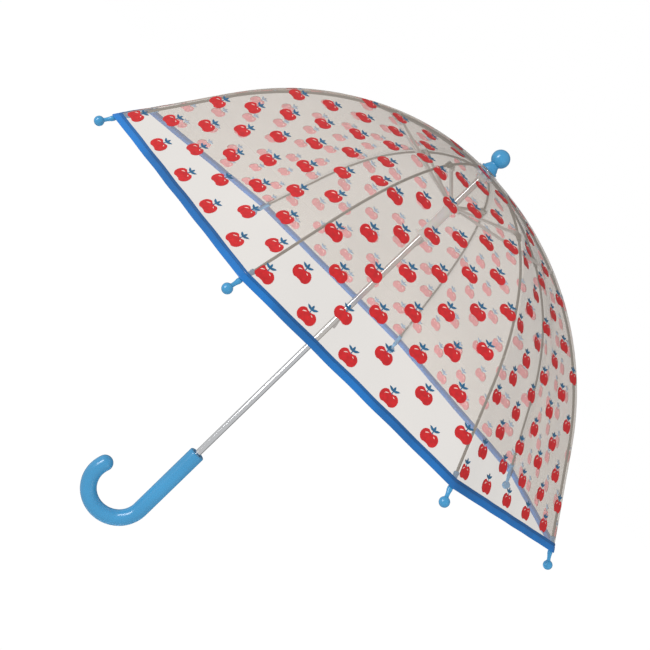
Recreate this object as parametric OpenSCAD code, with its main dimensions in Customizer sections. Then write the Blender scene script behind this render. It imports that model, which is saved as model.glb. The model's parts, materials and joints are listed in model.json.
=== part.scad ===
// Children's dome umbrella, open.
// The origin is on the shaft's axis at the middle of the grip, and +Z runs up the shaft.
// Each rib folds in its own plane. The stretcher is as long as the rib's inner length
// and both start at the same radius, so the runner stays on the shaft at every angle.

/* [Canopy] */
// Radius of the circle through the rib ends
rim_r = 360; // [350:1:370]
// Radius that the ribs are bent to over the crown
dome_r = 360; // [355:1:370]
// Angle from the crown at which each rib runs straight to the rim
straight_angle = 53.7; // [52:0.1:55]
// Height of the rim above the middle of the grip
rim_z = 280.5; // [270:0.5:300]
// Gap between the ribs' centre lines and the film
film_gap = 3.3; // [3.2:0.1:3.6]
// Thickness of the film solid
film_t = 0.6; // [0.5:0.1:0.8]
// Width of the edge binding
hem_w = 10; // [8:1:14]

/* [Ribs and stretchers] */
// Radius of the rib rod
rod_r = 1.4; // [1.2:0.1:1.5]
// Radius of the hinge rings in the notch and the runner
ring_r = 9; // [8.8:0.1:9.4]
// Distance from the shaft to the joint of rib and stretcher
knee_r = 135; // [125:1:140]
// Angle that the inner ribs turn through as the umbrella closes
fold_angle = 71; // [60:1:71]

/* [Shaft and runner] */
// Outer radius of the shaft
shaft_r = 4; // [4:0.1:4.2]
// Wall of the shaft
shaft_wall = 0.7; // [0.5:0.1:0.8]
// Length of the runner below its hinge ring
runner_len = 50; // [40:1:55]

/* [Handle] */
// Radius of the grip
grip_r = 10; // [9:0.5:11]
// Length of the straight grip
grip_len = 99; // [90:1:104]
// Radius of the hook along its centre line
hook_r = 36; // [32:1:40]
// Angle of the hook's bend
hook_angle = 200; // [180:1:210]

/* [Ferrule and tips] */
// Radius of the ball on the ferrule
ball_r = 11; // [10:0.5:12]
// Radius of the ferrule's skirt
skirt_r = 11; // [10:0.5:11.5]
// Radius of the ferrule's neck
neck_r = 6; // [5.5:0.1:7]
// Radius of the ball on each rib tip
tip_ball_r = 5.4; // [4:0.1:5.6]

/* [Hidden] */
$fn = 48;
RIBS = 8;
rib_step = 360 / RIBS;
first_rib = rib_step / 2;
arc_fn = 360;        // for the long bends
fine_fn = 24;        // for wires and pins
bend_step = 0.02;    // a bend is this much thinner than the straight run that it meets

// The dome: an arc about dome_c, then a straight run to the rim.
straight_r = dome_r * sin(straight_angle);
straight_len = (rim_r - straight_r) / cos(straight_angle);
dome_c = rim_z + straight_len * sin(straight_angle) - dome_r * cos(straight_angle);
arc_len = dome_r * straight_angle * PI / 180;
rib_len = arc_len + straight_len;

// The linkage: notch ring, knee and runner ring.
function arc_z(r) = dome_c + sqrt(dome_r * dome_r - r * r);
function arc_angle(r) = asin(r / dome_r);
top_z = arc_z(ring_r);
knee_z = arc_z(knee_r);
runner_z = 2 * knee_z - top_z;
link_len = norm([knee_r - ring_r, top_z - knee_z]);
link_drop = atan((top_z - knee_z) / (knee_r - ring_r));
closed_runner_z = top_z - 2 * link_len * sin(link_drop + fold_angle);

// Hinges
wire_r = 0.6;        // hinge ring wire
wire_bore = 0.8;     // eye round the ring wire, which curves inside it
eye_r = 2;           // eye on a ring
eye_w = 1.6;
pin_r = 0.9;         // knee pin
pin_press = 0.02;    // room round the pin where it is held
pin_run = 0.05;      // room round the pin where it turns
knee_eye_r = 2.3;
knee_eye_w = 2.6;
lug_t = 0.9;         // one fork lug
lug_gap = 0.3;       // room between lugs
yoke_h = 3;
inner_lug_y = rod_r + lug_gap;
outer_lug_y = inner_lug_y + lug_t + lug_gap;
pin_head_y = outer_lug_y + lug_t + lug_gap;
pin_head_t = 0.6;

// Notch and runner
hub_r = 6.4;
crown_r = 12;
slot_w = 2 * rod_r + 0.6;
plate_t = 0.6;
slot_room = 2.3;     // from the ring to the plate that closes the slots
crown_open = 4;      // from the ring to the open end of the slots
run_gap = 0.06;      // runner on shaft
ring_gap = 0.05;     // ring in its channel

// Top of the stack: film, washer, ferrule
film_top_z = dome_c + dome_r + film_gap + film_t;
washer_t = 0.7;
washer_r = 14;
ferrule_z = film_top_z + washer_t;
ball_z = ferrule_z + 19.5;
shaft_top_z = ferrule_z + 15;
grip_top = grip_len / 2;
shaft_in_grip = 70;

// Catches
catch_w = 1.8;
catch_slot_w = 2.4;
nose_r = 6.6;
nose_len = 18;
leaf_in = 2.3;
leaf_out = 3;
leaf_len = 46;
catch_azimuth = 0;     // in the hook's plane, on the far side of the shaft
top_catch_z = runner_z - runner_len - 0.4;
bottom_catch_z = closed_runner_z + crown_open + 0.4;

tip_in = 18;         // tip socket over the rod
tip_r = 2.8;
tip_ball_at = 14;    // ball centre past the rim
hem_gap = 0.05;      // angle left between a hem strip's end and the rib's plane

grip_blue = [0.27, 0.63, 0.84];
hem_blue = [0.09, 0.46, 0.84];
steel = [0.74, 0.75, 0.77];
dark_steel = [0.36, 0.36, 0.36];
white_plastic = [0.92, 0.93, 0.93];
film_clear = [0.90, 0.88, 0.86, 0.35];

// ---- placing helpers ----

// Turns the XZ plane to the plane of rib k.
module in_rib_plane(k) rotate([0, 0, first_rib + (k - 1) * rib_step]) children();

// A cylinder along Y between two heights of y.
module across(r, y0, y1) translate([0, y0, 0]) rotate([-90, 0, 0]) cylinder(r = r, h = y1 - y0);

// Both lugs of a fork that starts at y.
module both_sides() {
    children();
    mirror([0, 1, 0]) children();
}

// The knee, with +X along a line that drops outwards at this angle.
module at_knee(drop) translate([knee_r, 0, knee_z]) rotate([0, drop, 0]) children();

// The rib end, with +Z along the rib's straight run.
module at_rim() translate([rim_r, 0, rim_z]) rotate([0, 90 + straight_angle, 0]) children();

// Round rod bent to the dome between two angles from the crown.
module bent_rod(a0, a1)
    translate([0, 0, dome_c]) rotate([90, 0, 0]) rotate([0, 0, 90 - a1])
        rotate_extrude(angle = a1 - a0, $fn = arc_fn)
            translate([dome_r, 0]) circle(r = rod_r - bend_step, $fn = fine_fn);

// Ring of round wire about the shaft.
module wire_ring(z, r)
    translate([0, 0, z]) rotate_extrude($fn = 96) translate([ring_r, 0]) circle(r = r, $fn = fine_fn);

// ---- shaft, handle and fittings ----

module catch_slot(z0, z1)
    rotate([0, 0, catch_azimuth])
        translate([0, -catch_slot_w / 2, z0]) cube([shaft_r + 1, catch_slot_w, z1 - z0]);

module shaft() color(steel) {
    z0 = grip_top - shaft_in_grip;
    difference() {
        translate([0, 0, z0]) cylinder(r = shaft_r, h = shaft_top_z - z0);
        translate([0, 0, z0 - 1]) cylinder(r = shaft_r - shaft_wall, h = shaft_top_z - z0 + 2);
        catch_slot(top_catch_z - nose_len - 1, top_catch_z + 1);
        catch_slot(bottom_catch_z - 1, bottom_catch_z + nose_len + 1);
    }
}

// Straight grip with a rounded top edge, then the hook with its round end.
module handle() color(grip_blue) {
    edge = 2;
    hook_tube_r = grip_r - bend_step;
    difference() {
        union() {
            translate([0, 0, -grip_top]) cylinder(r = grip_r, h = grip_len - edge);
            translate([0, 0, grip_top - edge]) rotate_extrude() intersection() {
                union() {
                    square([grip_r - edge, edge]);
                    translate([grip_r - edge, 0]) circle(r = edge, $fn = fine_fn);
                }
                square(2 * grip_r);
            }
        }
        translate([0, 0, grip_top - shaft_in_grip]) cylinder(r = shaft_r, h = shaft_in_grip + 1);
    }
    translate([-hook_r, 0, -grip_top]) rotate([90, 0, 0]) rotate([0, 0, -hook_angle]) {
        rotate_extrude(angle = hook_angle, $fn = 120) translate([hook_r, 0]) circle(r = hook_tube_r);
        translate([hook_r, 0, 0]) rotate([90, 0, 0]) rotate_extrude() intersection() {
            circle(r = hook_tube_r);
            square(2 * grip_r);
        }
    }
}

// Crown with a slot for each rib: the plate is below the ring, the slots open upwards.
module slotted_crown() difference() {
    translate([0, 0, -slot_room - plate_t]) cylinder(r = crown_r, h = slot_room + plate_t + crown_open);
    for (k = [1:RIBS]) in_rib_plane(k)
        translate([hub_r + 0.2, -slot_w / 2, -slot_room]) cube([crown_r, slot_w, slot_room + crown_open + 1]);
    wire_ring(0, wire_r + ring_gap);
}

module notch() color(white_plastic) difference() {
    union() {
        translate([0, 0, top_z]) mirror([0, 0, 1]) slotted_crown();
        translate([0, 0, top_z - 9]) cylinder(r = hub_r, h = 6);
    }
    translate([0, 0, top_z - 20]) cylinder(r = shaft_r, h = 40);
}

module notch_ring() color(steel) wire_ring(top_z, wire_r);

module top_washer() color(white_plastic) difference() {
    translate([0, 0, film_top_z]) cylinder(r = washer_r, h = washer_t);
    translate([0, 0, film_top_z - 1]) cylinder(r = shaft_r, h = washer_t + 2);
}

// Skirt that sweeps in to a neck, and a ball.
module ferrule() color(grip_blue) {
    lip = 1.5;
    neck_h = 10;
    sweep = [for (i = [0:12]) let (t = i / 12)
        [neck_r + (skirt_r - neck_r) * (1 + cos(180 * t)) / 2, 2 * lip + (neck_h - 2 * lip) * t]];
    lip_arc = [for (i = [0:6]) let (a = -90 + 15 * i) [skirt_r - lip + lip * cos(a), lip + lip * sin(a)]];
    difference() {
        union() {
            translate([0, 0, ferrule_z]) rotate_extrude()
                polygon(concat([[0, 0]], lip_arc, sweep, [[neck_r, neck_h + 2], [0, neck_h + 2]]));
            translate([0, 0, ball_z]) sphere(r = ball_r, $fn = 64);
        }
        translate([0, 0, ferrule_z - 1]) cylinder(r = shaft_r, h = shaft_top_z - ferrule_z + 1);
    }
}

// Leaf spring in the shaft with a sloped nose. Its flat end is at z = 0, and the leaf runs down.
module catch_leaf() rotate([0, 0, catch_azimuth]) translate([0, catch_w / 2, 0]) rotate([90, 0, 0])
    linear_extrude(catch_w) polygon([
        [leaf_in, 0], [nose_r - 0.8, 0], [nose_r, -0.8], [nose_r, -3],
        [leaf_out, -nose_len], [leaf_out, -leaf_len], [leaf_in, -leaf_len]
    ]);

module top_catch() color(steel) translate([0, 0, top_catch_z]) catch_leaf();
module bottom_catch() color(steel) translate([0, 0, bottom_catch_z]) mirror([0, 0, 1]) catch_leaf();

module runner() color(white_plastic) translate([0, 0, runner_z]) {
    flange_r = 9.5;
    flange_t = 3;
    difference() {
        union() {
            slotted_crown();
            translate([0, 0, -runner_len]) cylinder(r = hub_r, h = runner_len + crown_open);
            translate([0, 0, -runner_len]) cylinder(r = flange_r, h = flange_t);
        }
        translate([0, 0, -runner_len - 1]) cylinder(r = shaft_r + run_gap, h = runner_len + crown_open + 2);
    }
}

module runner_ring() color(steel) wire_ring(runner_z, wire_r);

// ---- ribs ----

// Inner rib: eye on the notch ring, bent rod, eye at the knee.
module rib_upper(k) color(dark_steel) in_rib_plane(k) difference() {
    union() {
        translate([ring_r, 0, top_z]) across(eye_r, -eye_w / 2, eye_w / 2);
        bent_rod(arc_angle(ring_r + 1), arc_angle(knee_r - 1));
        at_knee(0) across(knee_eye_r, -knee_eye_w / 2, knee_eye_w / 2);
    }
    translate([ring_r, 0, top_z]) across(wire_bore, -rod_r - 1, rod_r + 1);
    at_knee(0) across(pin_r + pin_press, -rod_r - 1, rod_r + 1);
}

// Outer rib: fork at the knee, bent rod, straight run to the tip.
module rib_lower(k) color(dark_steel) in_rib_plane(k) {
    drop = arc_angle(knee_r);
    yoke_at = 5.5;
    yoke_l = 5;
    difference() {
        union() {
            at_knee(drop) {
                both_sides() {
                    across(knee_eye_r, inner_lug_y, inner_lug_y + lug_t);
                    translate([0, inner_lug_y, -yoke_h / 2]) cube([yoke_at + yoke_l, lug_t, yoke_h]);
                }
                translate([yoke_at, -inner_lug_y - lug_t / 2, -yoke_h / 2])
                    cube([yoke_l, 2 * inner_lug_y + lug_t, yoke_h]);
            }
            bent_rod(drop + 1.1, straight_angle);
            at_rim() translate([0, 0, -straight_len]) cylinder(r = rod_r, h = straight_len, $fn = fine_fn);
        }
        at_knee(0) across(pin_r + pin_run, -pin_head_y, pin_head_y);
    }
}

module knee_pin(k) color(steel) in_rib_plane(k) at_knee(0) {
    across(pin_r, -pin_head_y - pin_head_t / 2, pin_head_y + pin_head_t / 2);
    both_sides() across(1.7, pin_head_y, pin_head_y + pin_head_t);
}

// Stretcher: eye on the runner ring, blade, open channel, yoke and fork at the knee.
module stretcher(k) color(steel) in_rib_plane(k)
    translate([ring_r, 0, runner_z]) rotate([0, -link_drop, 0]) {
        channel_w = 3.2;
        channel_h = 2.6;
        groove_w = 1.8;
        groove_h = 1.7;
        blade_l = 13;
        yoke_end = link_len - 7;
        yoke_l = 5;
        difference() {
            union() {
                across(eye_r, -eye_w / 2, eye_w / 2);
                translate([0, -eye_w / 2, -channel_h / 2]) cube([blade_l + 3, eye_w, channel_h]);
                translate([blade_l, -channel_w / 2, -channel_h / 2])
                    cube([yoke_end - blade_l, channel_w, channel_h]);
                translate([yoke_end - yoke_l, -outer_lug_y - lug_t / 2, -yoke_h / 2])
                    cube([yoke_l, 2 * outer_lug_y + lug_t, yoke_h]);
                both_sides() {
                    translate([link_len, 0, 0]) across(knee_eye_r, outer_lug_y, outer_lug_y + lug_t);
                    translate([yoke_end - yoke_l, outer_lug_y, -yoke_h / 2])
                        cube([link_len - yoke_end + yoke_l, lug_t, yoke_h]);
                }
            }
            across(wire_bore, -eye_w, eye_w);
            translate([blade_l + 3, -groove_w / 2, channel_h / 2 - groove_h])
                cube([yoke_end - yoke_l - blade_l - 6, groove_w, groove_h + 1]);
            translate([link_len, 0, 0]) across(pin_r + pin_run, -pin_head_y, pin_head_y);
        }
    }

// Socket over the rod, a waist and a ball.
module rib_tip(k) color(grip_blue) in_rib_plane(k) at_rim() difference() {
    union() {
        translate([0, 0, -tip_in]) cylinder(r = tip_r, h = tip_in + tip_ball_at);
        translate([0, 0, tip_ball_at]) sphere(r = tip_ball_r);
    }
    translate([0, 0, -tip_in - 1]) cylinder(r = rod_r + pin_press, h = tip_in + 1, $fn = fine_fn);
}

// ---- film ----

// A point of the film: s along the rib from the crown, lift off the rib, in the plane at azimuth a.
function film_point(s, lift, a) =
    let (bend = min(s, arc_len) / dome_r * 180 / PI,
         run = max(s - arc_len, 0),
         r = (dome_r + lift) * sin(bend) + run * cos(bend),
         z = dome_c + (dome_r + lift) * cos(bend) - run * sin(bend))
    [r * cos(a), r * sin(a), z];

// Closed shell between rib k and the next one, from s0 to s1, short of each rib's plane by an angle.
module gore(k, s0, s1, lift0, lift1, steps, short = 0) {
    a0 = first_rib + (k - 1) * rib_step + short;
    a1 = a0 + rib_step - 2 * short;
    points = [for (i = [0:steps]) let (s = s0 + (s1 - s0) * i / steps)
        each [film_point(s, lift0, a0), film_point(s, lift0, a1),
              film_point(s, lift1, a1), film_point(s, lift1, a0)]];
    n = 4 * steps;
    sides = [for (i = [0:steps - 1], j = [0:3]) let (p = 4 * i + j, q = 4 * i + (j + 1) % 4)
        [p, q, q + 4, p + 4]];
    polyhedron(points, concat([[3, 2, 1, 0]], sides, [[n, n + 1, n + 2, n + 3]]), convexity = 4);
}

module panel(k) color(film_clear)
    gore(k, shaft_r + 1.5, rib_len - hem_w, film_gap, film_gap + film_t, 24);

module hem() color(hem_blue)
    for (k = [1:RIBS])
        gore(k, rib_len - hem_w, rib_len, film_gap - 0.2, film_gap + film_t + 0.4, 1, hem_gap);

// ---- the nodes ----

shaft();
handle();
notch();
notch_ring();
top_washer();
ferrule();
top_catch();
bottom_catch();
runner();
runner_ring();
hem();
for (k = [1:RIBS]) {
    rib_upper(k);
    rib_lower(k);
    knee_pin(k);
    stretcher(k);
    rib_tip(k);
    panel(k);
}
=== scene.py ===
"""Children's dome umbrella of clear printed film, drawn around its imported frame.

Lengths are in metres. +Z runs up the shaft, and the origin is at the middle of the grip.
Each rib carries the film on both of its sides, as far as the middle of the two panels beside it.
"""

import json
import math

import bpy
from bpy.props import FloatProperty, FloatVectorProperty, IntProperty
from mathutils import Matrix, Vector


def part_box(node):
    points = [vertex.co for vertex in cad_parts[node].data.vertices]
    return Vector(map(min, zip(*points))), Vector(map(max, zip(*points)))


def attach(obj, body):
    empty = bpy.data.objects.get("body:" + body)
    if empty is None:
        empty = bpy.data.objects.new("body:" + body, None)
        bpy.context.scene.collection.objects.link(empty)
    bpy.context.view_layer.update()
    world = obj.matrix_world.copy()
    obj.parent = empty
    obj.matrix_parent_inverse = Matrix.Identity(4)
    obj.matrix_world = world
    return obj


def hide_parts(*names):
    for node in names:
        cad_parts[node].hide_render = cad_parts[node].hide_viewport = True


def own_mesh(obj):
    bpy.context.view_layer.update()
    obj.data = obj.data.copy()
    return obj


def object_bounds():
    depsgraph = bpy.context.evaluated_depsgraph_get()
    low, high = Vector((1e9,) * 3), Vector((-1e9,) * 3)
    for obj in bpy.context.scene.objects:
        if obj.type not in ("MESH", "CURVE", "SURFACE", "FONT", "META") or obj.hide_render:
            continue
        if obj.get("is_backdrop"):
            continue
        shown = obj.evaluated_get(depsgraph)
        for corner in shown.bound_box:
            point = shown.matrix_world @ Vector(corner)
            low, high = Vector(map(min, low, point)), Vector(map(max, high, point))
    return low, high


bl_info = {
    "name": "Children's Dome Umbrella",
    "version": (1, 0, 0),
    "blender": (4, 5, 0),
    "location": "3D View > Sidebar > Umbrella",
    "description": "Builds the film, binding, handle and fittings of a children's umbrella around its frame",
    "category": "Add Mesh",
}

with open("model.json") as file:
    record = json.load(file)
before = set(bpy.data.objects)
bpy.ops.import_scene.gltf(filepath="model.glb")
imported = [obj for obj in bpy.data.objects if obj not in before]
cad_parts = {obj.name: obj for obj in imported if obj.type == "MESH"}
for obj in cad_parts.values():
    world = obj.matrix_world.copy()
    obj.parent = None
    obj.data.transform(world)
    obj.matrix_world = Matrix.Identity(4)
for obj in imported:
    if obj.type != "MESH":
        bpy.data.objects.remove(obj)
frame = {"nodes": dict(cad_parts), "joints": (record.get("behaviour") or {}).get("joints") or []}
CAD_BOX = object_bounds()
JOINTS = {joint["name"]: joint for joint in frame["joints"]}
FOLD_JOINT = "rib_1_fold"

MM = 0.001
RIBS = 8
STEP = 2 * math.pi / RIBS
WAVE_LENGTH = 55 * MM  # of the soft waves across the film
SHOULDER_FROM = 62 * MM  # along a rib, where the crown's band of film ends
HEM_KEEP = 0.11  # share of the binding's width that is kept when the ribs are folded
SNUG = 0.1 * MM  # room between a fitting and the shaft
ON_AXIS = 1e-7  # a turned ring smaller than this is one point


def pivot(joint):
    """A joint's place at rest."""
    return Vector(JOINTS[joint]["pos_m"])


def radius_of(point):
    """Distance from the shaft's axis."""
    return math.hypot(point.x, point.y)


KNEE_RADIUS = radius_of(pivot("rib_1_bend"))
RING_RADIUS = radius_of(pivot(FOLD_JOINT))
SHAFT_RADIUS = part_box("shaft")[1].x
FERRULE_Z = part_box("ferrule")[0].z
GRIP_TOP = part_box("handle")[1].z
GRIP_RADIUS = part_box("handle")[1].x
BALL_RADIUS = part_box("ferrule")[1].x


# ---- sizes and colours that can be changed ----


class UmbrellaCanopy(bpy.types.PropertyGroup):
    """Shape of the film and its edge binding."""

    dome_radius: FloatProperty(
        name="Dome radius",
        description="Radius that each rib is bent to over the crown",
        default=0.36,
        unit="LENGTH",
    )
    straight_from: FloatProperty(
        name="Straight from",
        description="Angle from the crown at which a rib runs straight to the rim",
        default=math.radians(53.7),
        subtype="ANGLE",
    )
    rim_radius: FloatProperty(
        name="Rim radius",
        description="Radius of the circle through the rib ends",
        default=0.36,
        unit="LENGTH",
    )
    film_lift: FloatProperty(
        name="Film lift",
        description="From a rib's centre line to the film",
        default=3.6 * MM,
        unit="LENGTH",
    )
    sag: FloatProperty(
        name="Sag",
        description="How far the film dips in the middle of a panel",
        default=3.0 * MM,
        unit="LENGTH",
    )
    ripple: FloatProperty(
        name="Ripple",
        description="Height of the soft waves in the film",
        default=0.6 * MM,
        unit="LENGTH",
    )
    seam_width: FloatProperty(
        name="Seam width",
        description="Half the width of the weld along a rib",
        default=1.0 * MM,
        unit="LENGTH",
    )
    hem_width: FloatProperty(
        name="Binding width",
        description="Width of the edge binding",
        default=10 * MM,
        unit="LENGTH",
    )


class UmbrellaPrint(bpy.types.PropertyGroup):
    """The printed fruit: staggered rows that run along the binding."""

    fruit_pitch: FloatProperty(
        name="Fruit pitch",
        description="From one fruit to the next in a row",
        default=54 * MM,
        unit="LENGTH",
    )
    row_pitch: FloatProperty(
        name="Row pitch",
        description="From one row to the next",
        default=28.3 * MM,
        unit="LENGTH",
    )
    first_row: FloatProperty(
        name="First row",
        description="From the rim to the middle of the first row",
        default=21 * MM,
        unit="LENGTH",
    )
    lean: FloatProperty(
        name="Lean",
        description="How far a row shifts sideways for each unit that it is further up",
        default=0.06,
    )
    fruit_width: FloatProperty(
        name="Fruit width",
        description="Width of one fruit",
        default=20.4 * MM,
        unit="LENGTH",
    )
    fruit_height: FloatProperty(
        name="Fruit height",
        description="Height of one fruit without its leaves",
        default=16.0 * MM,
        unit="LENGTH",
    )


class UmbrellaFittings(bpy.types.PropertyGroup):
    """Handle, ferrule and tips."""

    hook_radius: FloatProperty(
        name="Hook radius",
        description="Radius of the hook along its centre line",
        default=36 * MM,
        unit="LENGTH",
    )
    hook_angle: FloatProperty(
        name="Hook angle",
        description="How far the hook bends",
        default=math.radians(200),
        subtype="ANGLE",
    )
    tip_ball: FloatProperty(
        name="Tip ball",
        description="Radius of the ball on each rib tip",
        default=5.4 * MM,
        unit="LENGTH",
    )
    segments: IntProperty(name="Segments", description="Steps round each turned piece", default=56, min=12)


def colour(name, description, value):
    """A colour that can be changed."""
    return FloatVectorProperty(
        name=name, description=description, default=value, subtype="COLOR", min=0, max=1
    )


class UmbrellaColours(bpy.types.PropertyGroup):
    """Colours of the finishes."""

    fitting_blue: colour("Fitting blue", "Handle, ferrule and tips", (0.046, 0.295, 0.560))
    binding_blue: colour("Binding blue", "Edge binding", (0.004, 0.150, 0.470))
    film: colour("Film", "Haze of the clear film", (0.475, 0.415, 0.350))
    fruit_red: colour("Fruit red", "Printed fruit", (0.56, 0.008, 0.012))
    leaf_blue: colour("Leaf blue", "Printed leaves", (0.014, 0.115, 0.24))
    glint: colour("Glint", "Pale glints on the fruit", (0.88, 0.62, 0.56))
    fruit_back: colour("Fruit back", "Fruit seen from inside the film", (0.68, 0.21, 0.24))
    leaf_back: colour("Leaf back", "Leaves seen from inside the film", (0.20, 0.34, 0.52))
    rib_grey: colour("Rib grey", "Coated rib rod", (0.200, 0.193, 0.183))
    bright_steel: colour("Bright steel", "Plated shaft", (0.86, 0.87, 0.89))
    milky_white: colour("Milky white", "Runner and notch", (0.82, 0.83, 0.83))


class UmbrellaStudio(bpy.types.PropertyGroup):
    """Camera, floor and light."""

    lens: FloatProperty(name="Lens", description="Focal length", default=69.6, unit="CAMERA")
    floor_gap: FloatProperty(
        name="Floor gap",
        description="From the hook down to the floor",
        default=0.30,
        unit="LENGTH",
    )
    sky: FloatProperty(name="Sky", description="Strength of the even white light", default=0.62)
    floor_tint: FloatProperty(
        name="Floor tint",
        description="Lightness that the floor adds to its own white",
        default=0.03,
        subtype="FACTOR",
    )


GROUPS = {
    "umbrella_canopy": UmbrellaCanopy,
    "umbrella_print": UmbrellaPrint,
    "umbrella_fittings": UmbrellaFittings,
    "umbrella_colours": UmbrellaColours,
    "umbrella_studio": UmbrellaStudio,
}


def canopy():
    return bpy.context.scene.umbrella_canopy


def colours():
    return bpy.context.scene.umbrella_colours


# ---- shape of the canopy ----


def arc_length():
    """Along the bent part of a rib, from the crown."""
    return canopy().dome_radius * canopy().straight_from


def straight_length():
    """Along the straight part of a rib, from the bend's end to the rim."""
    c = canopy()
    return (c.rim_radius - c.dome_radius * math.sin(c.straight_from)) / math.cos(c.straight_from)


def rib_length():
    """Along a rib, from the crown to the rim."""
    return arc_length() + straight_length()


def dome_centre():
    """Height of the centre that the ribs are bent about, from the knee that the frame gives."""
    return pivot("rib_1_bend").z - math.sqrt(canopy().dome_radius ** 2 - KNEE_RADIUS**2)


def rib_azimuth(rib):
    """Direction of a rib, counted from 1, round the shaft."""
    return STEP * (rib - 0.5)


def rib_bend(s):
    """Angle that a rib has turned from level, s along it from the crown."""
    return min(s, arc_length()) / canopy().dome_radius


def rib_line(s, lift):
    """Radius and height of the line at this lift outside a rib, s along it from the crown."""
    bend = rib_bend(s)
    run = max(s - arc_length(), 0)
    out = canopy().dome_radius + lift
    radius = out * math.sin(bend) + run * math.cos(bend)
    return radius, dome_centre() + out * math.cos(bend) - run * math.sin(bend)


def half_width(s):
    """From the middle of a panel to its rib."""
    return rib_line(s, canopy().film_lift)[0] * math.sin(STEP / 2)


def film_wave(panel, s, side):
    """Height of the soft waves, which drift along the rib and differ from panel to panel."""
    wave = math.sin(2 * math.pi * side / WAVE_LENGTH + 2.6 * math.sin(11 * s) + 1.7 * panel)
    slow = math.sin(7 * s + 0.9 * panel)
    return canopy().ripple * wave * (0.65 + 0.35 * slow)


def film_point(panel, s, across, lift=None, rise=0.0):
    """A point of the film. Across is from -1 at rib number panel to 1 at the next rib.
    Lift is measured at the ribs, and rise is straight out of the panel."""
    c = canopy()
    lift = c.film_lift if lift is None else lift
    radius, z = rib_line(s, lift)
    side = radius * math.sin(STEP / 2) * across
    inner = max(0.0, 1 - across * across)
    dip = c.sag * math.sin(math.pi * min(1, s / rib_length())) ** 2
    rise += inner * (film_wave(panel, s, side) - dip)
    bend = rib_bend(s)
    normal = Vector((math.sin(bend), math.cos(bend) * math.cos(STEP / 2))).normalized()
    middle = rib_azimuth(panel) + STEP / 2
    out = radius * math.cos(STEP / 2) + rise * normal.x
    return Vector(
        (
            out * math.cos(middle) - side * math.sin(middle),
            out * math.sin(middle) + side * math.cos(middle),
            z + rise * normal.y,
        )
    )


def panel_beside(rib, side):
    """The panel on this side of a rib: -1 before it and 1 after it."""
    return rib if side > 0 else (rib - 2) % RIBS + 1


def beside_rib(rib, side, s, share, lift=None):
    """A point at this share of the way from a rib to the middle of the panel on one side."""
    return film_point(panel_beside(rib, side), s, -side * (1 - share), lift)


def bands():
    """The film along one rib, from the crown: name, start, end, the body it rides on, and how much
    of its width is kept when the ribs are folded. A fold is fuller where the closed rib bows out."""
    knee = canopy().dome_radius * math.asin(KNEE_RADIUS / canopy().dome_radius)
    end = rib_length() - canopy().hem_width
    third = (end - knee) / 3
    return (
        ("crown", SHAFT_RADIUS + 1.5 * MM, SHOULDER_FROM, "rib", 0.36),
        ("shoulder", SHOULDER_FROM, knee, "rib", 0.20),
        ("upper", knee, knee + third, "outer_rib", 0.15),
        ("middle", knee + third, knee + 2 * third, "outer_rib", 0.16),
        ("lower", knee + 2 * third, end, "outer_rib", 0.11),
    )


def gather(piece, rib, keep):
    """Gives a piece its own copy of its mesh."""
    azimuth = rib_azimuth(rib)
    pivot(FOLD_JOINT).z
    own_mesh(piece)


# ---- mesh helpers ----


def new_piece(name, points, faces, materials, body, slots=None):
    """A mesh object that rides on a body."""
    mesh = bpy.data.meshes.new(name)
    mesh.from_pydata([tuple(p) for p in points], [], faces)
    for material in materials:
        mesh.materials.append(material)
    if slots:
        mesh.polygons.foreach_set("material_index", slots)
    mesh.polygons.foreach_set("use_smooth", [True] * len(mesh.polygons))
    mesh.update()
    piece = bpy.data.objects.new(name, mesh)
    bpy.context.scene.collection.objects.link(piece)
    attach(piece, body)
    return piece


def rings_to_faces(rings, size, closed=True, first=0):
    """Quads between rings of points that follow one another, from this index on."""
    faces = []
    for i in range(rings - 1):
        for j in range(size if closed else size - 1):
            a, b = first + i * size + j, first + i * size + (j + 1) % size
            faces.append((a, b, b + size, a + size))
    return faces


def turned(name, profile, place, material, body, segments):
    """A piece turned on a lathe: profile is (radius, height) pairs, and place puts its +Z axis."""
    points, faces, rows = [], [], []
    for radius, height in profile:
        if radius < ON_AXIS:
            rows.append([len(points)])
            points.append(place @ Vector((0, 0, height)))
            continue
        rows.append(list(range(len(points), len(points) + segments)))
        for j in range(segments):
            angle = 2 * math.pi * j / segments
            points.append(place @ Vector((radius * math.cos(angle), radius * math.sin(angle), height)))
    for low, high in zip(rows, rows[1:]):
        for j in range(segments):
            n = (j + 1) % segments
            corners = [low[j % len(low)], low[n % len(low)], high[n % len(high)], high[j % len(high)]]
            faces.append(tuple(dict.fromkeys(corners)))
    piece = new_piece(name, points, faces, [material], body)
    piece.data.set_sharp_from_angle(angle=math.radians(40))
    return piece


def arc_profile(centre_r, centre_z, radius, start, end, steps):
    """Points of a round edge for a turned piece, between two angles in degrees from level."""
    angles = (math.radians(start + (end - start) * i / steps) for i in range(steps + 1))
    return [(centre_r + radius * math.cos(a), centre_z + radius * math.sin(a)) for a in angles]


# ---- materials ----


def link(tree, output, socket):
    tree.links.new(output, socket)


def new_material(name):
    """A material, its node tree and its shader."""
    material = bpy.data.materials.new(name)
    material.use_nodes = True
    tree = material.node_tree
    return material, tree, tree.nodes["Principled BSDF"]


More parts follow.
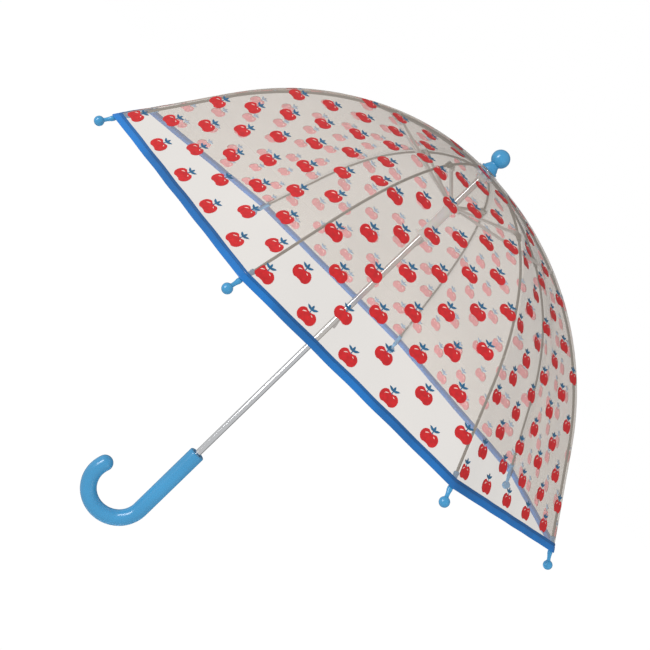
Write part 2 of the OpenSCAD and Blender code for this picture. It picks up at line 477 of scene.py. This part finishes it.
def noise_at(tree, scale, detail=3.0, stretch=(1, 1, 1)):
    """A noise texture fixed to the object, stretched along its axes."""
    coordinates = tree.nodes.new("ShaderNodeTexCoord")
    mapping = tree.nodes.new("ShaderNodeMapping")
    mapping.inputs["Scale"].default_value = stretch
    noise = tree.nodes.new("ShaderNodeTexNoise")
    noise.inputs["Scale"].default_value = scale
    noise.inputs["Detail"].default_value = detail
    link(tree, coordinates.outputs["Object"], mapping.inputs["Vector"])
    link(tree, mapping.outputs["Vector"], noise.inputs["Vector"])
    return noise.outputs["Fac"]


def spread(tree, value, low, high, start=0.3, end=0.7):
    """Maps a noise onto a range."""
    node = tree.nodes.new("ShaderNodeMapRange")
    node.inputs["From Min"].default_value = start
    node.inputs["From Max"].default_value = end
    node.inputs["To Min"].default_value = low
    node.inputs["To Max"].default_value = high
    link(tree, value, node.inputs["Value"])
    return node.outputs["Result"]


def between(tree, value, first, second):
    """A colour between two, by a noise."""
    ramp = tree.nodes.new("ShaderNodeValToRGB")
    ramp.color_ramp.elements[0].position, ramp.color_ramp.elements[1].position = 0.35, 0.65
    ramp.color_ramp.elements[0].color = (*first, 1)
    ramp.color_ramp.elements[1].color = (*second, 1)
    link(tree, value, ramp.inputs["Fac"])
    return ramp.outputs["Color"]


def bump(tree, shader, height, strength, distance):
    """Raises the surface by a noise."""
    node = tree.nodes.new("ShaderNodeBump")
    node.inputs["Strength"].default_value = strength
    node.inputs["Distance"].default_value = distance
    link(tree, height, node.inputs["Height"])
    link(tree, node.outputs["Normal"], shader.inputs["Normal"])


def shade(base, factor):
    """A colour made lighter or darker."""
    return tuple(min(1.0, part * factor) for part in base)


def moulded_plastic(name, base, rough=(0.20, 0.30), coat=0.35, subsurface=0.0):
    """Glossy moulded plastic: faint flow marks, a little orange peel and handling haze."""
    material, tree, shader = new_material(name)
    flow = between(tree, noise_at(tree, 28, 4, (1, 1, 0.4)), shade(base, 0.93), shade(base, 1.06))
    link(tree, flow, shader.inputs["Base Color"])
    link(tree, spread(tree, noise_at(tree, 90), *rough), shader.inputs["Roughness"])
    bump(tree, shader, noise_at(tree, 420, 2), 0.05, 0.4 * MM)
    shader.inputs["Coat Weight"].default_value = coat
    shader.inputs["Coat Roughness"].default_value = 0.08
    shader.inputs["Subsurface Weight"].default_value = subsurface
    shader.inputs["Subsurface Scale"].default_value = 2 * MM
    return material


def drawn_metal(name, base, rough, stretch, scale=700, strength=0.08):
    """Metal with fine lines along the way that it was drawn."""
    material, tree, shader = new_material(name)
    lines = noise_at(tree, scale, 2, stretch)
    link(tree, between(tree, noise_at(tree, 45), shade(base, 0.9), base), shader.inputs["Base Color"])
    link(tree, spread(tree, lines, *rough), shader.inputs["Roughness"])
    bump(tree, shader, lines, strength, 0.05 * MM)
    shader.inputs["Metallic"].default_value = 1.0
    return material


def coated_rod(name, base, rubbed=2.2):
    """Lacquer on steel rod, with rubbed places where it shows the metal."""
    material, tree, shader = new_material(name)
    wear = spread(tree, noise_at(tree, 160, 5), 0, 1, 0.60, 0.74)
    link(tree, between(tree, wear, base, shade(base, rubbed)), shader.inputs["Base Color"])
    link(tree, spread(tree, wear, 0.42, 0.26, 0, 1), shader.inputs["Roughness"])
    bump(tree, shader, noise_at(tree, 900, 2), 0.12, 0.1 * MM)
    shader.inputs["Metallic"].default_value = 0.35
    return material


def clear_film(name, base, open_share, seam=False):
    """Clear soft film with a faint haze. It shows more of itself where it is seen edge on.
    A seam has the fine ridges of a weld in place of the film's slow waves."""
    material, tree, shader = new_material(name)
    haze = between(tree, noise_at(tree, 9, 4), shade(base, 0.96), shade(base, 1.05))
    link(tree, haze, shader.inputs["Base Color"])
    slant = tree.nodes.new("ShaderNodeLayerWeight")
    slant.inputs["Blend"].default_value = 0.35
    face_on, edge_on = 1 - open_share, min(1, 1.22 - open_share)
    link(tree, spread(tree, slant.outputs["Facing"], face_on, edge_on, 0.3, 1.0), shader.inputs["Alpha"])
    link(tree, spread(tree, noise_at(tree, 30), 0.10, 0.20), shader.inputs["Roughness"])
    if seam:
        bump(tree, shader, noise_at(tree, 900, 1), 0.3, 0.2 * MM)
    else:
        bump(tree, shader, noise_at(tree, 22, 2), 0.35, 3 * MM)
    return material


def printed_ink(name, base):
    """Screen-printed ink, a little uneven in density."""
    material, tree, shader = new_material(name)
    density = between(tree, noise_at(tree, 240, 4), shade(base, 0.88), shade(base, 1.12))
    link(tree, density, shader.inputs["Base Color"])
    link(tree, spread(tree, noise_at(tree, 500), 0.32, 0.45), shader.inputs["Roughness"])
    return material


def binding_vinyl(name, base):
    """Satin vinyl tape with a fine pressed grain and lighter patches where it is stretched."""
    material, tree, shader = new_material(name)
    stretched = between(tree, noise_at(tree, 16, 4), shade(base, 0.86), shade(base, 1.22))
    link(tree, stretched, shader.inputs["Base Color"])
    link(tree, spread(tree, noise_at(tree, 120), 0.28, 0.42), shader.inputs["Roughness"])
    bump(tree, shader, noise_at(tree, 650, 3), 0.22, 0.3 * MM)
    shader.inputs["Coat Weight"].default_value = 0.05
    shader.inputs["Coat Roughness"].default_value = 0.25
    return material


def finish(name, make, base, **details):
    """A material by name, made once."""
    return bpy.data.materials.get(name) or make(name, tuple(base), **details)


def fitting_plastic():
    """The blue plastic that the handle, ferrule and tips share."""
    return finish("fitting_plastic", moulded_plastic, colours().fitting_blue)


def dress(nodes, material):
    """Gives CAD nodes a finish."""
    for name in nodes:
        mesh = frame["nodes"][name].data
        mesh.materials.clear()
        mesh.materials.append(material)


def numbered(stem):
    """Names of the nodes that each rib has one of."""
    return [f"{stem}_{k}" for k in range(1, RIBS + 1)]


# ---- pieces ----


class BuildFilm(bpy.types.Operator):
    """Builds the film of all eight panels, in bands along each rib"""

    bl_idname = "umbrella.build_film"
    bl_label = "Clear film"

    columns = 18  # from a rib to the middle of the panel
    row_step = 6 * MM
    widest_seam = 0.4  # share of the half panel, where the panel is narrow at the crown

    def grid(self, rib, start, end):
        """Points, faces and finishes of the film on both sides of a rib."""
        rows = math.ceil((end - start) / self.row_step)
        wide = 2 * self.columns + 1
        points = []
        for i in range(rows + 1):
            s = start + (end - start) * i / rows
            seam = min(self.widest_seam, canopy().seam_width / half_width(s))
            for j in range(-self.columns, self.columns + 1):
                count = abs(j)
                share = 0 if count == 0 else seam + (1 - seam) * (count - 1) / (self.columns - 1)
                points.append(beside_rib(rib, 1 if j > 0 else -1, s, share))
        faces = rings_to_faces(rows + 1, wide, closed=False)
        middle = self.columns
        slots = [int(middle - 1 <= a % wide <= middle) for a, *_ in faces]
        return points, faces, slots

    def execute(self, context):
        base = colours().film
        film = finish("film_clear", clear_film, base, open_share=0.55)
        seam = finish("film_seam", clear_film, base, open_share=0.53, seam=True)
        for rib in range(1, RIBS + 1):
            for band, start, end, body, keep in bands():
                points, faces, slots = self.grid(rib, start, end)
                piece = new_piece(f"film_{band}_{rib}", points, faces, [film, seam], f"{body}_{rib}", slots)
                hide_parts(f"panel_{rib}")
                gather(piece, rib, keep)
                height, area = self.flat_cut(start, end)
                2 * half_width(end)
        return {"FINISHED"}

    def flat_cut(self, start, end, steps=24):
        """Height up a panel's middle, and area, of the flat cut between two places along the rib."""
        step = (end - start) / steps
        height = area = 0.0
        for i in range(steps):
            s = start + (i + 0.5) * step
            bend = rib_bend(s)
            rise = step * math.hypot(math.cos(bend) * math.cos(STEP / 2), math.sin(bend))
            height += rise
            area += 2 * half_width(s) * rise
        return height, area


class BuildPrint(bpy.types.Operator):
    """Prints the staggered rows of fruit on the film"""

    bl_idname = "umbrella.build_print"
    bl_label = "Printed fruit"

    around = 22  # points on a fruit's outline
    body_slot, leaf_slot, glint_slot, back_slot, leaf_back_slot = range(5)

    # Lengths in millimetres.
    top_dip, low_dip, dip_width = 3.2, 2.4, 2.9
    stem, stem_half, leaf_joint = 4.4, 0.45, 3.6
    leaf_leans = ((-66, 6.9), (-6, 5.8), (56, 7.1))  # degrees from upright, and length
    leaf_edge = ((0, 0.35), (0.35, 1.3), (0.7, 1.0), (1, 0), (0.7, -1.0), (0.35, -1.3), (0, -0.35))
    glints = ((200, 250), (292, 318))  # degrees round the fruit, from and to
    glint_reach = (9.6, 6.9)
    row_shifts = (-17, 10)  # of the even rows and the odd ones
    seam_margin, crown_margin = 2.5, 28
    ink_rise, leaf_rise, glint_rise = 0.20, 0.26, 0.30

    def body(self, scale):
        """Outline of the fruit, wider than it is high, with a dip at its top and a small one below."""
        sizes = bpy.context.scene.umbrella_print
        points = []
        for i in range(self.around):
            angle = 2 * math.pi * i / self.around
            x = math.copysign(abs(math.cos(angle)) ** 0.86, math.cos(angle)) * sizes.fruit_width / 2
            y = math.copysign(abs(math.sin(angle)) ** 0.88, math.sin(angle)) * sizes.fruit_height / 2
            dip = math.exp(-((x / (self.dip_width * MM)) ** 2))
            y += (self.top_dip * MM if y < 0 else -self.low_dip * MM) * dip
            points.append((x * scale, y * scale))
        return points

    def leaves(self):
        """A short stem from the dip at the top, and three pointed leaves that fan out from it."""
        dip = -bpy.context.scene.umbrella_print.fruit_height / 2 + self.top_dip * MM
        half, end = self.stem_half * MM, dip - self.stem * MM
        yield [(-half, dip), (half, dip), (half, end), (-half, end)]
        joint = dip - self.leaf_joint * MM
        for lean, length in self.leaf_leans:
            turn = math.radians(lean)
            along = (math.sin(turn), -math.cos(turn))
            outline = []
            for share, width in self.leaf_edge:
                run, off = share * length * MM, width * MM
                outline.append((along[0] * run - along[1] * off, joint + along[1] * run + along[0] * off))
            yield outline

    def glint_outlines(self):
        """Two short curved glints that follow the fruit's upper edge."""
        wide, high = self.glint_reach
        for start, end in self.glints:
            outer, inner = [], []
            for i in range(5):
                angle = math.radians(start + (end - start) * i / 4)
                thick = 0.07 * math.sin(math.pi * i / 4)
                for ring, scale in ((outer, 0.70 + thick), (inner, 0.70 - thick)):
                    x, y = wide * MM * scale * math.cos(angle), high * MM * scale * math.sin(angle)
                    ring.append((x, y + 0.4 * MM))
            yield outer + inner[::-1]

    def rows(self, panel):
        """Middle of each fruit of a panel: along the rib, and sideways from the panel's middle."""
        sizes = bpy.context.scene.umbrella_print
        row = 0
        s = rib_length() - sizes.first_row
        while s > self.crown_margin * MM:
            half = half_width(s) - self.seam_margin * MM
            shift = self.row_shifts[row % 2] * MM - sizes.lean * row * sizes.row_pitch
            count = math.ceil(2 * half / sizes.fruit_pitch) + 1
            for n in range(-count, count + 1):
                side = shift + n * sizes.fruit_pitch
                if abs(side) < half:
                    yield s, side
            row += 1
            s = rib_length() - sizes.first_row - row * sizes.row_pitch

    def place(self, panel, s, side, outline, rise):
        """Points on the film, cut off at the seams, the binding and the opening round the shaft."""
        near_crown, near_rim = SHAFT_RADIUS + 3 * MM, rib_length() - canopy().hem_width - 0.5 * MM
        points = []
        for x, y in outline:
            at = min(max(s + y, near_crown), near_rim)
            limit = half_width(at) - canopy().seam_width
            across = min(max(side + x, -limit), limit) / half_width(at)
            points.append(film_point(panel, at, across, rise=rise))
        return points

    def fruit(self, mesh, panel, s, side):
        """Adds one fruit to a mesh, with a paler print on the inner face."""
        points, faces, slots = mesh

        def patch(outline, rise, slot, rings=()):
            """One face, or a fan and rings round the middle so that a wide print follows the film."""
            size, middle = len(outline), len(points)
            if rings:
                points.extend(self.place(panel, s, side, [(0, 0)], rise * MM))
            first = len(points)
            for scale in rings or (1.0,):
                ring = [(x * scale, y * scale) for x, y in outline]
                points.extend(self.place(panel, s, side, ring, rise * MM))
            if rings:
                made = [(middle, first + (j + 1) % size, first + j) for j in range(size)]
                made += rings_to_faces(len(rings), size, first=first)
            else:
                made = [tuple(range(first, first + size))]
            if rise < 0:
                made = [face[::-1] for face in made]
            faces.extend(made)
            slots.extend([slot] * len(made))

        patch(self.body(1), self.ink_rise, self.body_slot, (0.36, 0.7, 1.0))
        patch(self.body(0.97), -self.ink_rise, self.back_slot, (0.36, 0.7, 1.0))
        for leaf in self.leaves():
            patch(leaf, self.leaf_rise, self.leaf_slot)
            patch(leaf, -self.leaf_rise, self.leaf_back_slot)
        for glint in self.glint_outlines():
            patch(glint, self.glint_rise, self.glint_slot)
            patch(glint, -self.glint_rise, self.glint_slot)

    def execute(self, context):
        c = colours()
        inks = [
            finish("print_red", printed_ink, c.fruit_red),
            finish("print_leaf", printed_ink, c.leaf_blue),
            finish("print_shine", printed_ink, c.glint),
            finish("print_red_back", printed_ink, c.fruit_back),
            finish("print_leaf_back", printed_ink, c.leaf_back),
        ]
        meshes = {}
        for panel in range(1, RIBS + 1):
            for s, side in self.rows(panel):
                rib = panel if side < 0 else panel % RIBS + 1
                band = next(b for b in bands() if s < b[2] or b[0] == "lower")
                key = (rib, band)
                meshes.setdefault(key, ([], [], []))
                self.fruit(meshes[key], panel, s, side)
        for (rib, band), (points, faces, slots) in meshes.items():
            name, _, _, body, keep = band
            piece = new_piece(f"print_{name}_{rib}", points, faces, inks, f"{body}_{rib}", slots)
            gather(piece, rib, keep)
        return {"FINISHED"}


class BuildBinding(bpy.types.Operator):
    """Builds the folded tape round the canopy's edge"""

    bl_idname = "umbrella.build_binding"
    bl_label = "Edge binding"

    columns = 22  # from a rib to the middle of the panel
    # The faces along the weld get the lip finish: painted shade, a darker copy of the tape.
    lip = (0, 1, 2, 3)  # the first points of the section, along the weld
    half_thick = 0.75 * MM
    # From the tape's inner edge in millimetres, and lift as a share of half the thickness.
    # The dip in the middle is the weld line.
    weld = ((-0.6, 0.25), (0.2, 0.75), (1.6, 0.95), (2.3, 0.35), (3.0, 0.95), (5.5, 1.12))
    fold_angles = (0.0, 0.5, 1.0, 1.57, 2.14, 2.64, math.pi)

    def section(self):
        """The tape's outline: along the rib from the rim, and its lift."""
        width, middle = canopy().hem_width, canopy().film_lift + 0.1 * MM
        upper = [(-width + x * MM, lift) for x, lift in self.weld] + [(-2.0 * MM, 1.0)]
        fold = [(-0.95 * MM + self.half_thick * math.sin(a), math.cos(a)) for a in self.fold_angles]
        lower = [(s, -lift) for s, lift in reversed(upper)]
        return [(s, middle + self.half_thick * lift) for s, lift in upper + fold + lower]

    def execute(self, context):
        blue = colours().binding_blue
        tape = finish("binding_vinyl", binding_vinyl, blue)
        # Painted shade: the lip is the same vinyl made darker, to stand for the shade in the weld's groove.
        lip = finish("binding_lip", binding_vinyl, shade(blue, 0.62))
        section = self.section()
        for rib in range(1, RIBS + 1):
            points = []
            for j in range(-self.columns, self.columns + 1):
                share, side = abs(j) / self.columns, 1 if j > 0 else -1
                for s, lift in section:
                    points.append(beside_rib(rib, side, rib_length() + s, share, lift))
            size, count = len(section), 2 * self.columns + 1
            faces = rings_to_faces(count, size)
            # The faces at the lip's points take the painted shade finish, and the rest take the tape.
            slots = [int(a % size in self.lip or size - 2 - a % size in self.lip) for a, *_ in faces]
            faces += [tuple(range(size))[::-1], tuple(range((count - 1) * size, count * size))]
            slots += [0, 0]
            piece = new_piece(f"binding_{rib}", points, faces, [tape, lip], f"outer_rib_{rib}", slots)
            piece.data.set_sharp_from_angle(angle=math.radians(60))
            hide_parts("hem")
            gather(piece, rib, HEM_KEEP)
        return {"FINISHED"}


class BuildHandle(bpy.types.Operator):
    """Builds the moulded crook handle"""

    bl_idname = "umbrella.build_handle"
    bl_label = "Handle"

    edge = 2 * MM  # rounding of the grip's top edge
    socket_depth, socket_gap, bevel = 3.0 * MM, 1.3 * MM, 0.6 * MM
    hook_slack = 0.02 * MM  # the hook is this much thinner than the grip
    mould_line, mould_line_width = 0.10 * MM, 0.06

    def path(self):
        """Centre line from the shaft's socket to the end of the hook: point, direction and radius."""
        fittings = bpy.context.scene.umbrella_fittings
        down, edge, low = Vector((0, 0, -1)), self.edge, -GRIP_TOP
        mouth = SHAFT_RADIUS + self.socket_gap
        grip = [
            (GRIP_TOP - self.socket_depth, SHAFT_RADIUS + SNUG),
            (GRIP_TOP - self.socket_depth, mouth),
            (GRIP_TOP - self.bevel, mouth),
            (GRIP_TOP, mouth + self.bevel),
        ]
        for i in range(7):
            angle = math.pi / 2 * i / 6
            radius = GRIP_RADIUS - edge + edge * math.sin(angle)
            grip.append((GRIP_TOP - edge + edge * math.cos(angle), radius))
        for i in range(1, 25):
            grip.append((GRIP_TOP - edge + (low - GRIP_TOP + edge) * i / 24, GRIP_RADIUS))
        stations = [(Vector((0, 0, z)), down, radius) for z, radius in grip]
        bend = fittings.hook_radius
        turns = 60
        for i in range(1, turns + 1):
            angle = fittings.hook_angle * i / turns
            centre = Vector((-bend + bend * math.cos(angle), 0, low - bend * math.sin(angle)))
            along = Vector((-math.sin(angle), 0, -math.cos(angle)))
            stations.append((centre, along, GRIP_RADIUS - self.hook_slack))
        end, along, radius = stations[-1]
        for i in range(1, 13):
            angle = math.pi / 2 * i / 12
            ring = max(radius * math.cos(angle), self.hook_slack)
            stations.append((end + along * radius * math.sin(angle), along, ring))
        return stations

    def execute(self, context):
        segments = bpy.context.scene.umbrella_fittings.segments
        points = []
        stations = self.path()
        sideways = Vector((0, 1, 0))
        for centre, along, radius in stations:
            outward = sideways.cross(along)
            full = radius > 0.95 * GRIP_RADIUS
            for j in range(segments):
                angle = 2 * math.pi * j / segments
                # The mould's halves met in the hook's plane and left a fine raised line.
                off = abs(math.sin(angle))
                line = self.mould_line * math.exp(-((off / self.mould_line_width) ** 2)) if full else 0
                reach = radius + line
                points.append(centre + outward * reach * math.cos(angle) + sideways * reach * math.sin(angle))
        faces = [f[::-1] for f in rings_to_faces(len(stations), segments)]
        last = (len(stations) - 1) * segments
        faces.append(tuple(range(last, last + segments))[::-1])
        faces.append(tuple(range(segments)))
        piece = new_piece("handle_crook", points, faces, [fitting_plastic()], "root")
        piece.data.set_sharp_from_angle(angle=math.radians(50))
        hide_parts("handle")
        return {"FINISHED"}


class BuildFerrule(bpy.types.Operator):
    """Builds the ball and skirt on top, and its clear washer"""

    bl_idname = "umbrella.build_ferrule"
    bl_label = "Ferrule"

    def execute(self, context):
        segments = bpy.context.scene.umbrella_fittings.segments
        ball, centre = BALL_RADIUS, 19.5 * MM
        neck, skirt, lip = 6 * MM, 10.8 * MM, 1.5 * MM
        bore = SHAFT_RADIUS + SNUG
        profile = [(bore, 2 * MM), (bore, 0)]
        profile += arc_profile(skirt - lip, lip, lip, -90, 80, 10)
        profile += [(skirt - 1.6 * MM, 3.1 * MM)]
        for i in range(13):
            share = i / 12
            radius = neck + (skirt - 2.0 * MM - neck) * (1 + math.cos(math.pi * share)) / 2
            profile.append((radius, 3.2 * MM + 7.0 * MM * share))
        meet = math.degrees(math.asin(math.sqrt(1 - (neck / ball) ** 2)))
        profile += arc_profile(0, centre, ball, -meet, 90, 30)[:-1] + [(0, centre + ball)]
        place = Matrix.Translation((0, 0, FERRULE_Z))
        piece = turned("ferrule_ball", profile, place, fitting_plastic(), "root", segments)
        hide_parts("ferrule")
        dress(["top_washer"], finish("washer_clear", clear_film, (0.70, 0.72, 0.74), open_share=0.70))
        return {"FINISHED"}


class BuildTips(bpy.types.Operator):
    """Builds the ball tip on the end of each rib"""

    bl_idname = "umbrella.build_tips"
    bl_label = "Rib tips"

    # Radius, and distance beyond the rim, in millimetres: a tube on the rib with a bead at its end,
    # then the collar at the binding and a neck that meets the ball.
    tube = ((1.45, -16), (1.45, -18), (2.5, -18), (2.8, -17.6), (2.8, -15.4), (2.45, -15), (2.45, -2))
    collar = ((2.8, -1.5), (2.8, 1.5), (2.5, 2.2), (2.1, 5), (2.0, 7.5))

    def execute(self, context):
        c, fittings = canopy(), bpy.context.scene.umbrella_fittings
        ball, at = fittings.tip_ball, 14 * MM
        profile = [(radius * MM, height * MM) for radius, height in self.tube + self.collar]
        start = -math.degrees(math.acos(2.3 * MM / ball))
        profile += arc_profile(0, at, ball, start, 90, 18)[:-1] + [(0, at + ball)]
        for rib in range(1, RIBS + 1):
            azimuth = rib_azimuth(rib)
            down = Vector((math.cos(c.straight_from), 0, -math.sin(c.straight_from)))
            turn = Matrix.Rotation(azimuth, 4, "Z") @ down.to_track_quat("Z", "Y").to_matrix().to_4x4()
            radius, z = rib_line(rib_length(), 0)
            place = Matrix.Translation((radius * math.cos(azimuth), radius * math.sin(azimuth), z)) @ turn
            body, segments = f"outer_rib_{rib}", fittings.segments // 2
            piece = turned(f"tip_ball_{rib}", profile, place, fitting_plastic(), body, segments)
            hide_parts(f"rib_tip_{rib}")
        return {"FINISHED"}


class DressFrame(bpy.types.Operator):
    """Finishes the shaft, ribs, stretchers, runner and notch"""

    bl_idname = "umbrella.dress_frame"
    bl_label = "Frame finishes"

    def execute(self, context):
        c = colours()
        steel = finish(
            "shaft_steel",
            drawn_metal,
            c.bright_steel,
            rough=(0.32, 0.42),
            stretch=(1, 1, 0.03),
            scale=500,
            strength=0.02,
        )
        wire = finish("wire_steel", drawn_metal, (0.62, 0.63, 0.65), rough=(0.22, 0.34), stretch=(1, 1, 1))
        zinc = finish("stretcher_zinc", coated_rod, (0.56, 0.56, 0.55), rubbed=1.25)
        rods = finish("rib_coating", coated_rod, c.rib_grey)
        milky = finish(
            "milky_plastic", moulded_plastic, c.milky_white, rough=(0.28, 0.40), coat=0.1, subsurface=0.3
        )
        dress(["shaft"], steel)
        dress(["notch_ring", "runner_ring", "top_catch", "bottom_catch", *numbered("knee_pin")], wire)
        dress(numbered("stretcher"), zinc)
        dress([*numbered("rib_upper"), *numbered("rib_lower")], rods)
        dress(["notch", "runner"], milky)
        return {"FINISHED"}


class SetStage(bpy.types.Operator):
    """Sets the pale floor, the soft light and the camera"""

    bl_idname = "umbrella.set_stage"
    bl_label = "Floor, light and camera"

    # The camera's place, the way it looks and the way that is up in its view.
    place = Vector((-0.2243, -1.4492, 0.4403))
    sight = Vector((0.1492, 0.9818, -0.1173))
    upright = Vector((-0.6968, 0.1886, 0.6920))
    behind, dimmed = (0.42, 0.91, 0), 0.30  # the way behind the object, and the light's share from there

    def floor(self, studio):
        """A wide white floor. It doesn't wash out the object from below."""
        size, z = 12.0, CAD_BOX[0].z - studio.floor_gap
        mesh = bpy.data.meshes.new("floor")
        corners = [(-size, -size, z), (size, -size, z), (size, size, z), (-size, size, z)]
        mesh.from_pydata(corners, [], [(0, 1, 2, 3)])
        material, _, shader = new_material("floor_white")
        shader.inputs["Base Color"].default_value = (*[studio.floor_tint] * 3, 1)
        shader.inputs["Roughness"].default_value = 0.9
        shader.inputs["Specular IOR Level"].default_value = 0
        shader.inputs["Emission Color"].default_value = (1, 1, 1, 1)
        shader.inputs["Emission Strength"].default_value = 1.0
        mesh.materials.append(material)
        floor = bpy.data.objects.new("floor", mesh)
        bpy.context.scene.collection.objects.link(floor)
        floor.visible_diffuse = floor.visible_glossy = False
        floor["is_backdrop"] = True

    def light(self, name, place, power, size, aim=(0, 0, 0.25), seen=True):
        """A soft lamp that the camera doesn't see, and that shows in gloss only if it is seen."""
        data = bpy.data.lights.new(name, "AREA")
        data.shape, data.energy = "RECTANGLE", power
        data.size, data.size_y = size
        lamp = bpy.data.objects.new(name, data)
        lamp.location = place
        lamp.rotation_mode = "QUATERNION"
        lamp.rotation_quaternion = (Vector(aim) - Vector(place)).to_track_quat("-Z", "Y")
        lamp.visible_camera = False
        lamp.visible_glossy = seen
        bpy.context.scene.collection.objects.link(lamp)

    def world(self, studio):
        """Even white light. It is darker behind the object, so that bright metal and clear edges
        show, but the camera sees it white all round."""
        world = bpy.data.worlds.new("studio")
        world.use_nodes = True
        tree = world.node_tree
        background = tree.nodes["Background"]
        background.inputs["Color"].default_value = (1, 1, 1, 1)
        paths = tree.nodes.new("ShaderNodeLightPath")
        towards = tree.nodes.new("ShaderNodeTexCoord")
        behind = tree.nodes.new("ShaderNodeVectorMath")
        behind.operation = "DOT_PRODUCT"
        behind.inputs[1].default_value = self.behind
        link(tree, towards.outputs["Generated"], behind.inputs[0])
        dim = spread(tree, behind.outputs["Value"], studio.sky, self.dimmed * studio.sky, 0.15, 0.75)
        seen = tree.nodes.new("ShaderNodeMix")
        seen.inputs["B"].default_value = 1.0
        link(tree, paths.outputs["Is Camera Ray"], seen.inputs["Factor"])
        link(tree, dim, seen.inputs["A"])
        link(tree, seen.outputs["Result"], background.inputs["Strength"])
        return world

    def camera(self, studio):
        """The camera at its place, turned the way that it looks."""
        data = bpy.data.cameras.new("camera")
        data.lens, data.sensor_width, data.clip_start, data.clip_end = studio.lens, 36, 0.02, 60
        camera = bpy.data.objects.new("camera", data)
        back = -self.sight.normalized()
        right = self.upright.cross(back).normalized()
        turn = Matrix((right, back.cross(right), back)).transposed().to_4x4()
        camera.matrix_world = Matrix.Translation(self.place) @ turn
        bpy.context.scene.collection.objects.link(camera)
        return camera

    def execute(self, context):
        scene = bpy.context.scene
        studio = scene.umbrella_studio
        self.floor(studio)
        self.light("key_softbox", place=(-2.6, -1.9, 0.55), power=62, size=(0.9, 2.2))
        self.light("fill_softbox", place=(2.3, -1.7, 0.4), power=30, size=(1.2, 1.8), seen=False)
        self.light(
            "dome_softbox", place=(0.1, 0.38, -0.30), power=7, size=(0.6, 0.6), aim=(0, 0.2, 0.45), seen=False
        )
        scene.world = self.world(studio)
        scene.view_settings.view_transform = "Standard"
        scene.camera = self.camera(studio)
        return {"FINISHED"}


OPERATORS = (
    BuildFilm,
    BuildPrint,
    BuildBinding,
    BuildHandle,
    BuildFerrule,
    BuildTips,
    DressFrame,
    SetStage,
)


class UmbrellaPanel(bpy.types.Panel):
    """Lists the umbrella's pieces and sizes"""

    bl_idname = "VIEW3D_PT_umbrella"
    bl_label = "Umbrella"
    bl_space_type = "VIEW_3D"
    bl_region_type = "UI"
    bl_category = "Umbrella"

    def draw(self, context):
        for name, group in GROUPS.items():
            box = self.layout.box()
            values = getattr(context.scene, name)
            for key in group.__annotations__:
                box.prop(values, key)
        for operator in OPERATORS:
            self.layout.operator(operator.bl_idname)


def register():
    for cls in (*GROUPS.values(), *OPERATORS, UmbrellaPanel):
        bpy.utils.register_class(cls)
    for name, group in GROUPS.items():
        setattr(bpy.types.Scene, name, bpy.props.PointerProperty(type=group))


def unregister():
    for name in GROUPS:
        delattr(bpy.types.Scene, name)
    for cls in reversed((*GROUPS.values(), *OPERATORS, UmbrellaPanel)):
        bpy.utils.unregister_class(cls)


def main():
    """Builds everything."""
    register()
    bpy.ops.umbrella.set_stage()
    bpy.ops.umbrella.build_film()
    bpy.ops.umbrella.build_print()
    bpy.ops.umbrella.build_binding()
    bpy.ops.umbrella.build_handle()
    bpy.ops.umbrella.build_ferrule()
    bpy.ops.umbrella.build_tips()
    bpy.ops.umbrella.dress_frame()
    boxes = {"cad": CAD_BOX, "visual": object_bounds()}
    {name: [list(corner) for corner in box] for name, box in boxes.items()}


if __name__ == "__main__":
    main()
